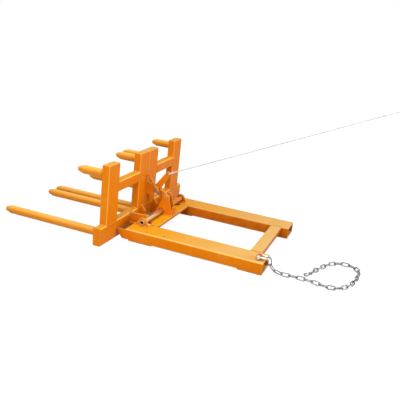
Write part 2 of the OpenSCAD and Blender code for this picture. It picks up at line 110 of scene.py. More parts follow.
make_camera()
print("camera lens", round(SCENE.camera.data.lens, 2), "mm")

# %% [markdown]
# Every new piece is a surface on a grid of two parameters. One helper turns such a grid
# of points into a mesh. Rows run along a path and columns run round a section.

# %% Surfaces from grids
PIECES = []


def grid_faces(rows, columns, ring_rows=False, ring_columns=True):
    """Quads between neighbouring grid points, joined up where a direction is a ring."""
    r = np.arange(rows if ring_rows else rows - 1)
    c = np.arange(columns if ring_columns else columns - 1)
    r0, c0 = np.meshgrid(r, c, indexing="ij")
    r1, c1 = (r0 + 1) % rows, (c0 + 1) % columns
    corners = [r0 * columns + c0, r0 * columns + c1, r1 * columns + c1, r1 * columns + c0]
    return np.stack(corners, -1).reshape(-1, 4)


def mesh_from(name, points, faces, loose_faces=(), smooth=True):
    """A mesh object from points, an array of quads and a few faces of any size."""
    mesh = bpy.data.meshes.new(name)
    faces = [list(map(int, f)) for f in faces] + [list(map(int, f)) for f in loose_faces]
    mesh.from_pydata(np.asarray(points, float).tolist(), [], faces)
    mesh.polygons.foreach_set("use_smooth", np.full(len(mesh.polygons), smooth))
    mesh.update()
    piece = bpy.data.objects.new(name, mesh)
    SCENE.collection.objects.link(piece)
    PIECES.append(piece)
    return piece


def unit(v):
    """Vectors scaled to length one along their last axis."""
    v = np.asarray(v, float)
    return v / np.maximum(np.linalg.norm(v, axis=-1, keepdims=True), 1e-12)


def resampled(path, step, closed=False):
    """Points at an even spacing of about step along a path of straight pieces."""
    path = np.asarray(path, float)
    if closed:
        path = np.vstack([path, path[:1]])
    run = np.concatenate([[0], np.cumsum(np.linalg.norm(np.diff(path, axis=0), axis=1))])
    count = max(2, int(round(run[-1] / step)) + 1)
    at = np.linspace(0, run[-1], count)
    if closed:
        at = at[:-1]
    return np.stack([np.interp(at, run, path[:, k]) for k in range(3)], 1)


def frames_along(path, up, closed=False):
    """Two unit vectors across a path at each point, the first as near to up as it can be."""
    ahead = np.roll(path, -1, 0) - np.roll(path, 1, 0)
    if not closed:
        ahead[0], ahead[-1] = path[1] - path[0], path[-1] - path[-2]
    ahead = unit(ahead)
    up = np.broadcast_to(np.asarray(up, float), path.shape)
    first = unit(up - ahead * np.sum(up * ahead, 1, keepdims=True))
    return first, np.cross(ahead, first)


def tube(path, radius, up=(0, 0, 1), sides=12, closed=False, strands=0, lay=0.02, relief=0.16):
    """Points of a round tube carried along a path: centre + r (cos a first + sin a second).
    With strands, r dips between the strands, which turn once in every lay of length."""
    first, second = frames_along(path, up, closed)
    angle = np.linspace(0, 2 * np.pi, sides, endpoint=False)
    steps = np.linalg.norm(np.diff(path, axis=0), axis=1)
    run = np.concatenate([[0], np.cumsum(steps)])[:, None]
    radius = np.broadcast_to(np.asarray(radius, float).reshape(-1, 1), (len(path), 1))
    if strands:
        turn = strands / 2 * (angle[None, :] - 2 * np.pi * run / lay)
        radius = radius * (1 - relief + relief * np.abs(np.cos(turn)))
    round_first = np.cos(angle)[None, :, None] * first[:, None, :]
    round_second = np.sin(angle)[None, :, None] * second[:, None, :]
    return path[:, None, :] + radius[..., None] * (round_first + round_second)


def tube_piece(name, path, radius, closed=False, **shape):
    """A closed tube along a path, with its ends capped unless it is a ring."""
    points = tube(path, radius, closed=closed, **shape)
    rows, sides = points.shape[:2]
    faces = grid_faces(rows, sides, ring_rows=closed)
    caps = [] if closed else [range(sides - 1, -1, -1), range((rows - 1) * sides, rows * sides)]
    return mesh_from(name, points.reshape(-1, 3), faces, caps)


def joined(name, pieces):
    """One object from several."""
    points, faces, start = [], [], 0
    for piece in pieces:
        mesh = piece.data
        flat = np.empty(3 * len(mesh.vertices))
        mesh.vertices.foreach_get("co", flat)
        points.append(flat.reshape(-1, 3))
        faces += [[start + v for v in polygon.vertices] for polygon in mesh.polygons]
        start += len(mesh.vertices)
        PIECES.remove(piece)
        bpy.data.objects.remove(piece)
    return mesh_from(name, np.vstack(points), faces)


# %% [markdown]
# The release cord is tied to the top of the latch lever and runs taut to the driver. It is
# an 8 mm laid rope: three strands twisted round each other, so its section has three lobes
# that turn along it. It ends in a hand loop just outside the view.

# %% Release cord
CORD_D = 0.008
CORD_EYE = np.array([-0.186, 0.0, 0.400])
CORD_FAR = np.array([-1.833, 0.0, 1.172])
LOOP_R, FAR_LOOP_R, KNOT_R = 0.014, 0.032, 0.009
CORD_AHEAD = unit(CORD_FAR - CORD_EYE)
CORD_RUN = float(np.linalg.norm(CORD_FAR - CORD_EYE))
CORD_START = 2 * LOOP_R + 2 * KNOT_R
CORD_END = CORD_RUN - 2 * FAR_LOOP_R - 2 * KNOT_R
ACROSS = np.array([0.0, 1.0, 0.0])
CORD_TOP = np.cross(CORD_AHEAD, ACROSS)
ROPE = {"strands": 3, "sides": 24, "lay": 0.030, "relief": 0.12}
IN_KNOT = 0.012
RUN_POINTS, LOOP_POINTS, KNOT_POINTS = 700, 120, 260
LOOP_TIGHT, KNOT_TIGHT = 0.97, 0.86
KNOT_TURN = 7 * np.pi
BEND_END = 0.50


def on_cord(along, side=0.0, top=0.0):
    """Points in the cord's own directions: along it, to its left, and above it."""
    along, side, top = np.broadcast_arrays(along, side, top)
    return (CORD_EYE + along[..., None] * CORD_AHEAD
            + side[..., None] * ACROSS + top[..., None] * CORD_TOP)


def rope_run():
    """The straight taut stretch between the two knots."""
    path = on_cord(np.linspace(CORD_START - IN_KNOT, CORD_END + IN_KNOT, RUN_POINTS))
    return path, tube_piece("release_rope", path, CORD_D / 2, up=CORD_TOP, **ROPE)


def rope_loop(name, centre, radius, flat_on):
    """A loop of rope in the plane of the cord and one other direction, closed by its knot."""
    turn = np.linspace(0, 2 * np.pi, LOOP_POINTS, endpoint=False)
    along = centre - radius * np.cos(turn)
    across = radius * np.sin(turn)
    path = on_cord(along, side=across if flat_on else 0, top=0 if flat_on else across)
    up = CORD_TOP if flat_on else ACROSS
    return tube_piece(name, path, CORD_D / 2 * LOOP_TIGHT, closed=True, up=up, **ROPE)


def rope_knot(name, centre, way):
    """A barrel knot: three and a half tight turns of rope round the standing part. Its
    turns are a helix whose radius is r + d sin(turn / 7), so it swells in the middle."""
    turn = np.linspace(0, KNOT_TURN, KNOT_POINTS)
    swell = 0.0042 + 0.0012 * np.sin(turn / 7)
    along = centre + way * (turn / KNOT_TURN - 0.5) * 2 * (KNOT_R - 0.003)
    path = on_cord(along, side=swell * np.cos(turn), top=swell * np.sin(turn))
    return tube_piece(name, path, CORD_D / 2 * KNOT_TIGHT, up=CORD_AHEAD, **ROPE)


CORD_PATH, rope = rope_run()
eye_loop = joined("rope_eye_loop", [
    rope_loop("loop", LOOP_R, LOOP_R, flat_on=True),
    rope_knot("knot", 2 * LOOP_R + KNOT_R, 1),
])
far_loop = joined("rope_hand_loop", [
    rope_loop("loop", CORD_RUN - FAR_LOOP_R, FAR_LOOP_R, flat_on=False),
    rope_knot("knot", CORD_END + KNOT_R, -1),
])
CORD_BEND = {"start": tuple(CORD_EYE), "end": tuple(on_cord(BEND_END))}
for piece, node in ((rope, "release_cord"), (eye_loop, "cord_eye_loop"), (far_loop, "cord_far_loop")):
    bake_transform(piece)
    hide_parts(node)

# %% [markdown]
# The latch spring is a close wound extension spring. Its wire is carried along one helix,
# and each end is turned out into an eye. It stretches when the lever moves.

# %% Latch spring
SPRING_Y = 0.044
SPRING_TOP = np.array([-0.047, SPRING_Y, 0.372])
SPRING_R, SPRING_WIRE, SPRING_TURNS = 0.0085, 0.003, 37
LEVER_AXIS = np.array([-0.100, 0.0, 0.266])
CATCH_AXIS = np.array([-0.198, 0.0, 0.226])
FOOT_FROM_AXIS = 0.049
SPRING_FOOT = LEVER_AXIS + FOOT_FROM_AXIS * unit(CATCH_AXIS - LEVER_AXIS) + SPRING_Y * ACROSS
COIL_STEPS, EYE_POINTS = 16, 40


def spring_path():
    """Eye, helix and eye as one path. The helix is centre + r (cos a, sin a), a steady climb."""
    ahead = unit(SPRING_FOOT - SPRING_TOP)
    run = float(np.linalg.norm(SPRING_FOOT - SPRING_TOP))
    over = np.cross(ahead, ACROSS)
    eye = SPRING_R
    coil_from, coil_to = 2 * eye + 0.0005, run - 2 * eye + 0.0015
    a = np.linspace(0, 2 * np.pi * SPRING_TURNS, SPRING_TURNS * COIL_STEPS)
    climb = np.linspace(coil_from, coil_to, len(a))
    coil = np.stack([climb, SPRING_R * np.cos(a), SPRING_R * np.sin(a)], 1)
    b = np.linspace(-np.pi * 0.9, np.pi * 0.75, EYE_POINTS)
    top_eye = np.stack([eye - 0.001 - eye * np.cos(b + 0.25), eye * np.sin(b + 0.25), 0 * b], 1)
    low = run - (eye - SPRING_WIRE / 2 - 0.005)
    foot_eye = np.stack([low - eye * np.cos(b), 0 * b, eye * np.sin(b)], 1)
    return SPRING_TOP, ahead, over, top_eye, coil, foot_eye


def spring_piece():
    """The spring's three stretches, placed on the line between its two hooks."""
    origin, ahead, over, *stretches = spring_path()
    parts = []
    for i, local in enumerate(stretches):
        path = origin + local[:, :1] * ahead + local[:, 1:2] * ACROSS + local[:, 2:] * over
        up = ahead if i == 1 else over + ACROSS * 0.3
        parts.append(tube_piece(f"stretch{i}", path, SPRING_WIRE / 2, up=up, sides=8))
    return joined("latch_spring_coil", parts)


spring = spring_piece()
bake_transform(spring)
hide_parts("latch_spring")
print("spring", len(spring.data.polygons), "faces")

# %% [markdown]
# Weld seams hold the whole thing together, and nothing says welded steel as they do. A
# bead is a rounded fillet between two surfaces. Its size swells and dips every few
# millimetres, and the ripples bow forward in the middle, as the pool of metal froze. A
# leg is how far a bead reaches along each surface.

# %% Weld beads
RIPPLE_PITCH = 0.0042
RIPPLE_STEPS = 5
SECTION_POINTS = 7
RING_POINTS = 90
SADDLE_POINTS = 60
SADDLE_HALF = 0.47 * np.pi
LEG_GROOVE, LEG_ARM, LEG_TINE, LEG_FILLET = 0.0085, 0.007, 0.0065, 0.006
LEG_RIB, LEG_END, LEG_HOOK, LEG_STRAP = 0.0055, 0.005, 0.004, 0.0032
LEAN = 0.45


def bead(path, side_a, side_b, leg=LEG_FILLET, closed=False):
    """Points of a fillet: seam + r(p) (cos p a + sin p b), p from 0 to 90 degrees, where r
    is between a flat and a round face and ripples along the path. One more row is inside."""
    count = len(path)
    side_a = np.broadcast_to(unit(side_a), path.shape)
    side_b = np.broadcast_to(unit(side_b), path.shape)
    p = np.linspace(0, np.pi / 2, SECTION_POINTS)
    face = 0.45 / (np.cos(p) + np.sin(p)) + 0.55
    step = np.arange(count)[:, None] / RIPPLE_STEPS
    ripple = np.abs(np.sin(np.pi * (step + 0.38 * np.sin(2 * p)[None, :])))
    seed = float(np.sum(np.abs(path[0])) * 97)
    wander = 1 + 0.06 * np.sin(step * 0.9 + seed) + 0.05 * np.sin(step * 0.37 + 2 * seed)
    r = leg * face * wander * (0.90 + 0.13 * ripple)
    if not closed:
        ends = np.minimum(np.arange(count), np.arange(count)[::-1])[:, None]
        r = r * np.clip(0.35 + ends / (2.0 * RIPPLE_STEPS), 0, 1) ** 0.6
    shell = path[:, None, :] + r[..., None] * (
        np.cos(p)[None, :, None] * side_a[:, None, :] + np.sin(p)[None, :, None] * side_b[:, None, :]
    )
    inner = path - 0.25 * leg * (side_a + side_b)
    return np.concatenate([shell, inner[:, None, :]], 1)


class Seams:
    """Collects the beads of one body into one piece."""

    def __init__(self, name, body):
        self.name, self.body = name, body
        self.points, self.faces, self.caps, self.start, self.run = [], [], [], 0, 0.0

    def add(self, path, side_a, side_b, leg=LEG_FILLET, closed=False):
        """One bead along a path, between two surfaces that leave the seam along a and b."""
        path = resampled(path, RIPPLE_PITCH / RIPPLE_STEPS, closed)
        if callable(side_a):
            side_a = side_a(path)
        grid = bead(path, side_a, side_b, leg, closed)
        rows, columns = grid.shape[:2]
        ahead = path[1] - path[0]
        a0 = unit(side_a if np.ndim(side_a) == 1 else side_a[0])
        b0 = unit(side_b)
        faces = grid_faces(rows, columns, ring_rows=closed)
        turned = np.dot(np.cross(a0, b0), ahead) > 0
        if turned:
            faces = faces[:, ::-1]
        self.faces.append(faces + self.start)
        if not closed:
            first = self.start + np.arange(columns)
            last = first + (rows - 1) * columns
            self.caps += [first, last[::-1]] if turned else [first[::-1], last]
        self.points.append(grid.reshape(-1, 3))
        self.start += rows * columns
        self.run += len(path) * RIPPLE_PITCH / RIPPLE_STEPS

    def line(self, a, b, side_a, side_b, leg=LEG_FILLET):
        """A straight bead from a to b."""
        self.add([a, b], side_a, side_b, leg)

    def finish(self):
        """The one mesh of all beads, riding on its body."""
        piece = mesh_from(self.name, np.vstack(self.points), np.vstack(self.faces), self.caps)
        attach(piece, self.body)
        print(self.name, round(self.run, 2), "m of bead,", len(piece.data.polygons), "faces")
        return piece


X, Y, Z = np.eye(3)
HEAD_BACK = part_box("bottom_beam")[0][0]
HEAD_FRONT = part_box("bottom_beam")[1][0]
BEAM_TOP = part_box("bottom_beam")[1][2]
TILT_AXIS = np.array([-0.172, 0.0, 0.114])
SHAFT_R = 0.020
CORNER_R = 0.010
RIB_T = 0.010
ARM_FOOT, ARM_TOP, EARS_TOP = 0.034, 0.118, 0.320
CORNER_GAP = 0.011
POSTS = ("outer_post_left", "middle_post_left", "middle_post_right", "outer_post_right")
TINES = [n for n in frame["nodes"] if "_tine_" in n]


def box_of(node):
    """A node's lowest and highest corners as two arrays."""
    low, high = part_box(node)
    return np.array(low), np.array(high)


def head_seams():
    """Posts on the beam, bars between the posts, tines, arms, ribs and ears."""
    seams = Seams("head_weld_seams", BODY_HEAD)
    inner = CORNER_R * 0.55
    for post in POSTS:
        low, high = box_of(post)
        for x, out in ((HEAD_FRONT - inner, X), (HEAD_BACK + inner, -X)):
            a = [x, low[1] + 0.006, BEAM_TOP - inner]
            b = [x, high[1] - 0.006, BEAM_TOP - inner]
            seams.line(a, b, unit(out - Z * LEAN), unit(Z + out * LEAN), LEG_GROOVE)
        for y, out in ((low[1], -Y), (high[1], Y)):
            if abs(y) > 0.02:
                a, b = [HEAD_BACK + CORNER_GAP, y, BEAM_TOP], [HEAD_FRONT - CORNER_GAP, y, BEAM_TOP]
                seams.line(a, b, out, Z, LEG_FILLET)
    for bar in ("upper_bar_left", "upper_bar_right"):
        low, high = box_of(bar)
        for y, out in ((low[1], Y), (high[1], -Y)):
            for x, face in ((HEAD_FRONT - inner, X), (HEAD_BACK + inner, -X)):
                a = [x, y - out[1] * inner, low[2] + 0.006]
                b = [x, y - out[1] * inner, high[2] - 0.006]
                seams.line(a, b, unit(face - out * LEAN), unit(out + face * LEAN), LEG_GROOVE)
            for z, up in ((high[2], Z), (low[2], -Z)):
                a, b = [HEAD_BACK + CORNER_GAP, y, z], [HEAD_FRONT - CORNER_GAP, y, z]
                seams.line(a, b, up, out, LEG_FILLET)
    for tine in TINES:
        low, high = box_of(tine)
        centre, r = (low + high) / 2, (high[1] - low[1]) / 2
        turn = np.linspace(0, 2 * np.pi, RING_POINTS, endpoint=False)
        across, up = centre[1] + r * np.cos(turn), centre[2] + r * np.sin(turn)
        ring = np.stack([np.full(RING_POINTS, HEAD_FRONT), across, up], 1)
        seams.add(ring, lambda p, c=centre: unit((p - c) * [0, 1, 1]), X, LEG_TINE, closed=True)
    for arm in ("hinge_arm_left", "hinge_arm_right"):
        low, high = box_of(arm)
        for y, out in ((low[1], -Y), (high[1], Y)):
            seams.line([HEAD_BACK, y, ARM_FOOT], [HEAD_BACK, y, ARM_TOP], out, -X, LEG_ARM)
            turn = np.linspace(-SADDLE_HALF, SADDLE_HALF, SADDLE_POINTS)
            round_shaft = np.stack([np.cos(turn), 0 * turn, np.sin(turn)], 1)
            saddle = TILT_AXIS * [1, 0, 1] + SHAFT_R * round_shaft + [0, y, 0]
            seams.add(saddle, lambda q: unit((q - TILT_AXIS) * [1, 0, 1]), out, LEG_FILLET)
    ribs_high = box_of("post_ribs")[1]
    for side in (-1, 1):
        for y, out in ((ribs_high[1], Y * side), (ribs_high[1] - RIB_T, -Y * side)):
            a, b = [HEAD_BACK, side * y, ARM_FOOT], [HEAD_BACK, side * y, ribs_high[2] - 0.003]
            seams.line(a, b, out, -X, LEG_RIB)
    ears_low, ears_high = box_of("latch_ears")
    for side in (-1, 1):
        y = side * ears_high[1]
        a, b = [HEAD_BACK, y, ears_low[2] + 0.002], [HEAD_BACK, y, EARS_TOP]
        seams.line(a, b, Y * side, -X, LEG_FILLET)
    low, high = box_of("spring_hook_post")
    for y, out in ((low[1], -Y), (high[1], Y)):
        a, b = [HEAD_BACK, y, low[2] + 0.001], [HEAD_BACK, y, high[2] - 0.001]
        seams.line(a, b, out, -X, LEG_HOOK)
    return seams.finish()


NOTCH_X = -0.204
STITCH = 0.040


def frame_seams():
    """Cross plates between the sleeves, straps, shaft lugs, the catch and the chain's lug."""
    seams = Seams("frame_weld_seams", BODY_FRAME)
    sleeve_low, sleeve_high = box_of("fork_sleeve_left")
    inside, outside, top = sleeve_low[1], sleeve_high[1], sleeve_high[2]
    for plate, joined_to in (("front_cross_plate", NOTCH_X), ("rear_cross_plate", None)):
        low, high = box_of(plate)
        front = joined_to or high[0]
        for side in (-1, 1):
            y = side * inside
            groove = [0, side * 0.004, -0.0045]
            a = np.array([low[0] + 0.002, y, top]) + groove
            b = np.array([front - 0.002, y, top]) + groove
            seams.line(a, b, unit(Z - Y * side * 0.9), unit(Z + Y * side * 0.9), LEG_GROOVE)
            seams.line([low[0], y, low[2]], [front, y, low[2]], -Z, -Y * side, LEG_FILLET)
            for x, out in ((low[0], -X), (front, X)):
                seams.line([x, y, low[2]], [x, y, top - 0.010], -Y * side, out, LEG_FILLET)
    for straps in ("front_straps", "rear_straps"):
        low, high = box_of(straps)
        for y, out in ((inside, -1), (outside, 1)):
            for side in (-1, 1):
                for x0 in np.linspace(low[0] + 0.012, high[0] - 0.012 - STITCH, 3):
                    a, b = [x0, side * y, high[2]], [x0 + STITCH, side * y, high[2]]
                    seams.line(a, b, unit(Y * side * out + Z), unit(Y * side * out - Z), LEG_STRAP)
    for lug in ("shaft_lug_left", "shaft_lug_right", "chain_lug"):
        low, high = box_of(lug)
        for y, out in ((low[1], -Y), (high[1], Y)):
            seams.line([low[0], y, top], [high[0], y, top], out, Z, LEG_FILLET)
        for x, out in ((low[0], -X), (high[0], X)):
            seams.line([x, low[1], top], [x, high[1], top], out, Z, LEG_END)
    low, high = box_of("catch_plate_left")
    web_low, web_high = box_of("catch_web")
    for side in (-1, 1):
        for y, out, start in ((low[1], -1, web_high[0]), (high[1], 1, low[0])):
            seams.line([start, side * y, top], [high[0], side * y, top], Y * side * out, Z, LEG_FILLET)
        a, b = [web_high[0], side * low[1], top], [web_high[0], side * low[1], web_high[2]]
        seams.line(a, b, -Y * side, X, LEG_END)
    seams.line([web_low[0], -high[1], top], [web_low[0], high[1], top], -X, Z, LEG_FILLET)
    return seams.finish()


head_seams()
frame_seams()

# %% [markdown]
# The rear cross plate is stiffened by a flat bar on edge under its rear side, between the
# sleeves. It shows as a dark band behind the pale top, and the enamel's painted shade for
# low faces that look back darkens it further.

# %% Rear stiffener
STIFFENER_DEEP, STIFFENER_T = 0.024, 0.010


def rear_stiffener():
    """A flat bar: the ring of its section at one end, and again at the other."""
    low, high = box_of("rear_cross_plate")
    inside = box_of("fork_sleeve_left")[0][1]
    x, y = (low[0], low[0] + STIFFENER_T), (-inside, inside)
    z = (low[2] - STIFFENER_DEEP, low[2])
    ring = [(x[0], z[0]), (x[1], z[0]), (x[1], z[1]), (x[0], z[1])]
    points = np.array([[a, side, c] for side in y for a, c in ring])
    faces, ends = grid_faces(2, 4)[:, ::-1], [range(4), range(7, 3, -1)]
    bar = mesh_from("rear_plate_stiffener", points, faces, ends, smooth=False)
    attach(bar, BODY_FRAME)
    return bar


stiffener = rear_stiffener()

# %% [markdown]
# The finishes come next. Worn edges, dust, scuffs, a painted highlight on tops and
# corners, painted shade in inside corners that also stands for dirt there, and painted
# shade low on faces that look back or inwards are used by more than one finish, so each
# is a small node group with named inputs, built once. A group gives only masks and a
# normal. The shader itself stays in each material.

# %% Shader node groups


def new_group(name, inputs, outputs):
    """An empty node group with float or colour sockets: (name, kind, default)."""
    group = bpy.data.node_groups.new(name, "ShaderNodeTree")
    for label, kind, default in inputs:
        socket = group.interface.new_socket(label, in_out="INPUT", socket_type=kind)
        if default is not None:
            socket.default_value = default
    for label, kind in outputs:
        group.interface.new_socket(label, in_out="OUTPUT", socket_type=kind)
    return group, group.nodes.new("NodeGroupInput"), group.nodes.new("NodeGroupOutput")


def add_node(tree, kind, values=None, links=None, **settings):
    """A node with its settings, its plain input values and its incoming links."""
    node = tree.nodes.new(kind)
    for key, value in settings.items():
        setattr(node, key, value)
    for key, value in (values or {}).items():
        node.inputs[key].default_value = value
    for key, socket in (links or {}).items():
        tree.links.new(socket, node.inputs[key])
    return node


def math_node(tree, operation, a, b=None, clamp=False):
    """A maths node on two numbers or sockets, and its result."""
    node = tree.nodes.new("ShaderNodeMath")
    node.operation, node.use_clamp = operation, clamp
    for i, value in enumerate((a, b)):
        if value is None:
            continue
        if isinstance(value, (int, float)):
            node.inputs[i].default_value = value
        else:
            tree.links.new(value, node.inputs[i])
    return node.outputs[0]


def noise(tree, scale, detail=3.0, roughness=0.55, coordinates=None):
    """A noise texture on the object's own metres, and its value."""
    if coordinates is None:
        coordinates = add_node(tree, "ShaderNodeTexCoord").outputs["Object"]
    node = add_node(tree, "ShaderNodeTexNoise", {"Detail": detail, "Roughness": roughness},
                    {"Vector": coordinates})
    if isinstance(scale, (int, float)):
        node.inputs["Scale"].default_value = scale
    else:
        tree.links.new(scale, node.inputs["Scale"])
    return node.outputs["Fac"]


def times(tree, first, *others):
    """The product of two or more numbers or sockets."""
    for other in others:
        first = math_node(tree, "MULTIPLY", first, other)
    return first


def plus(tree, a, b):
    """The sum of two numbers or sockets."""
    return math_node(tree, "ADD", a, b)


def one_minus(tree, value):
    """What a value lacks to one."""
    return math_node(tree, "SUBTRACT", 1.0, value)


def own_axes(tree):
    """The X, Y and Z of a point and of its normal, in the piece's own directions."""
    source = add_node(tree, "ShaderNodeTexCoord")
    kinds = ("Object", "Normal")
    split = [add_node(tree, "ShaderNodeSeparateXYZ", links={"Vector": source.outputs[k]}) for k in kinds]
    return split[0].outputs, split[1].outputs


def ramp(tree, value, low, high):
    """A value stretched so that low becomes 0 and high becomes 1."""
    node = add_node(tree, "ShaderNodeMapRange", {"From Min": low, "From Max": high}, {"Value": value})
    node.interpolation_type = "SMOOTHSTEP"
    return node.outputs["Result"]


def edge_group():
    """Where a surface turns sharply: 1 minus how far the rounded normal agrees with the true one.
    Line is that turn itself, Chips is what a patchy noise leaves of its sharpest part."""
    group, given, result = new_group(
        "sharp_edges",
        [("Radius", "NodeSocketFloat", 0.003), ("Amount", "NodeSocketFloat", 0.5),
         ("Grain", "NodeSocketFloat", 60.0)],
        [("Line", "NodeSocketFloat"), ("Chips", "NodeSocketFloat"), ("Normal", "NodeSocketVector")],
    )
    bevel = add_node(group, "ShaderNodeBevel", links={"Radius": given.outputs["Radius"]}, samples=8)
    geometry = add_node(group, "ShaderNodeNewGeometry")
    agree = add_node(group, "ShaderNodeVectorMath", operation="DOT_PRODUCT")
    group.links.new(bevel.outputs["Normal"], agree.inputs[0])
    group.links.new(geometry.outputs["Normal"], agree.inputs[1])
    turn = one_minus(group, agree.outputs["Value"])
    # Line marks the corners where the enamel paints its highlight.
    group.links.new(ramp(group, turn, 0.0, 0.13), result.inputs["Line"])
    patchy = noise(group, given.outputs["Grain"], detail=5.0, roughness=0.7)
    needed = one_minus(group, times(group, patchy, given.outputs["Amount"]))
    worn = math_node(group, "SUBTRACT", times(group, turn, 3.0), needed)
    group.links.new(math_node(group, "MULTIPLY", worn, 9.0, clamp=True), result.inputs["Chips"])
    group.links.new(bevel.outputs["Normal"], result.inputs["Normal"])
    return group


# Its Up and Corner drive the enamel's painted highlight on tops and corners.
def rise_group():
    """How far a face looks up, in the piece's own directions: its normal's Z, stretched.
    Corner is 1 minus the normal's largest part, which only a rounded corner has."""
    group, given, result = new_group(
        "facing_up", [("Low", "NodeSocketFloat", 0.3)],
        [("Up", "NodeSocketFloat"), ("Corner", "NodeSocketFloat")],
    )
    own = add_node(group, "ShaderNodeTexCoord").outputs["Normal"]
    parts = add_node(group, "ShaderNodeSeparateXYZ", links={"Vector": own})
    up = add_node(group, "ShaderNodeMapRange", {"From Max": 1.0},
                  {"Value": parts.outputs["Z"], "From Min": given.outputs["Low"]})
    group.links.new(up.outputs["Result"], result.inputs["Up"])
    sizes = [math_node(group, "ABSOLUTE", parts.outputs[k]) for k in "XYZ"]
    most = math_node(group, "MAXIMUM", math_node(group, "MAXIMUM", sizes[0], sizes[1]), sizes[2])
    corner = ramp(group, one_minus(group, most), 0.01, 0.16)
    group.links.new(corner, result.inputs["Corner"])
    return group


def settled_group():
    """Pale dust on faces that look up, thicker towards the truck: a stretch of the normal's Z
    times a stretch of -X, made patchy by noise."""
    group, given, result = new_group(
        "settled_dust", [("Amount", "NodeSocketFloat", 0.5)], [("Mask", "NodeSocketFloat")]
    )
    place, normal = own_axes(group)
    up = ramp(group, normal["Z"], 0.5, 1.0)
    rearwards = ramp(group, place["X"], -0.15, -1.15)
    patches = ramp(group, noise(group, 7.0, detail=6.0, roughness=0.7), 0.20, 0.75)
    soft = plus(group, times(group, patches, 0.5), 0.5)
    mask = times(group, rearwards, soft, given.outputs["Amount"], up)
    group.links.new(mask, result.inputs["Mask"])
    return group


def corner_shade_group():
    """Painted shade in inside corners, which also stands for dirt there: how much of the sky
    is hidden close by, times patchy noise.
    """
    group, given, result = new_group(
        "corner_shade_and_grime", [("Reach", "NodeSocketFloat", 0.03), ("Amount", "NodeSocketFloat", 0.5)],
        [("Mask", "NodeSocketFloat")],
    )
    reach = {"Distance": given.outputs["Reach"]}
    hidden = add_node(group, "ShaderNodeAmbientOcclusion", links=reach, samples=6)
    depth = ramp(group, one_minus(group, hidden.outputs["AO"]), 0.30, 0.85)
    patches = ramp(group, noise(group, 26.0, detail=5.0, roughness=0.65), 0.30, 0.70)
    soft = plus(group, times(group, patches, 0.7), 0.3)
    group.links.new(times(group, depth, soft, given.outputs["Amount"]), result.inputs["Mask"])
    return group


def low_shade_group():
    """Painted shade low on the part, on faces that look back or inwards. It is (1 near the
    ground, 0 above it) times the larger of -Back Nx and -Ny sign(y)."""
    group, given, result = new_group(
        "low_inward_shade", [("Amount", "NodeSocketFloat", 0.7), ("Back", "NodeSocketFloat", 0.5)],
        [("Mask", "NodeSocketFloat")],
    )
    place, normal = own_axes(group)
    low = ramp(group, place["Z"], 0.16, 0.05)
    inwards = times(group, normal["Y"], math_node(group, "SIGN", place["Y"]), -1.0)
    back = times(group, normal["X"], -1.0, given.outputs["Back"])
    facing = math_node(group, "MAXIMUM", inwards, back, clamp=True)
    patches = ramp(group, noise(group, 11.0, detail=6.0, roughness=0.7), 0.25, 0.65)
    soft = plus(group, times(group, patches, 0.45), 0.55)
    mask = times(group, low, soft, given.outputs["Amount"], facing)
    group.links.new(mask, result.inputs["Mask"])
    return group


def scratch_group():
    """Thin scuffs: stretched noise cut to its narrow middle band."""
    group, given, result = new_group(
        "fine_scuffs", [("Amount", "NodeSocketFloat", 0.5)], [("Mask", "NodeSocketFloat")]
    )
    coordinates = add_node(group, "ShaderNodeTexCoord").outputs["Object"]
    turned = {"Scale": (6.0, 90.0, 70.0), "Rotation": (0.1, 0.2, 0.35)}
    stretch = add_node(group, "ShaderNodeMapping", turned, {"Vector": coordinates})
    streaks = noise(group, 3.0, detail=4.0, roughness=0.6, coordinates=stretch.outputs["Vector"])
    middle = math_node(group, "ABSOLUTE", math_node(group, "SUBTRACT", streaks, 0.5))
    thin = math_node(group, "SUBTRACT", 1.0, times(group, middle, 55.0), clamp=True)
    where = ramp(group, noise(group, 5.0, detail=2.0), 0.56, 0.70)
    group.links.new(times(group, thin, where, given.outputs["Amount"]), result.inputs["Mask"])
    return group


EDGES, RISE, CORNER_SHADE_GROUP = edge_group(), rise_group(), corner_shade_group()
LOW_SHADE_GROUP, SETTLED, SCUFFS = low_shade_group(), settled_group(), scratch_group()


def use_group(tree, group, **values):
    """A placed copy of a node group, with its own input values."""
    node = tree.nodes.new("ShaderNodeGroup")
    node.node_tree = group
    for key, value in values.items():
        node.inputs[key].default_value = value
    return node


def mixed(tree, factor, a, b):
    """One colour over another by a factor. A colour is a tuple or a socket."""
    node = tree.nodes.new("ShaderNodeMix")
    node.data_type = "RGBA"
    if isinstance(factor, (int, float)):
        node.inputs["Factor"].default_value = factor
    else:
        tree.links.new(factor, node.inputs["Factor"])
    for key, value in ((6, a), (7, b)):
        if isinstance(value, tuple):
            node.inputs[key].default_value = (*value, 1.0)
        else:
            tree.links.new(value, node.inputs[key])
    return node.outputs[2]


def new_material(name, **plain):
    """A material with one Principled shader and its plain values, ready for links."""
    material = bpy.data.materials.new(name)
    material.use_nodes = True
    tree = material.node_tree
    shader = tree.nodes["Principled BSDF"]
    for key, value in plain.items():
        shader.inputs[key.replace("_", " ")].default_value = value
    return material, tree, shader
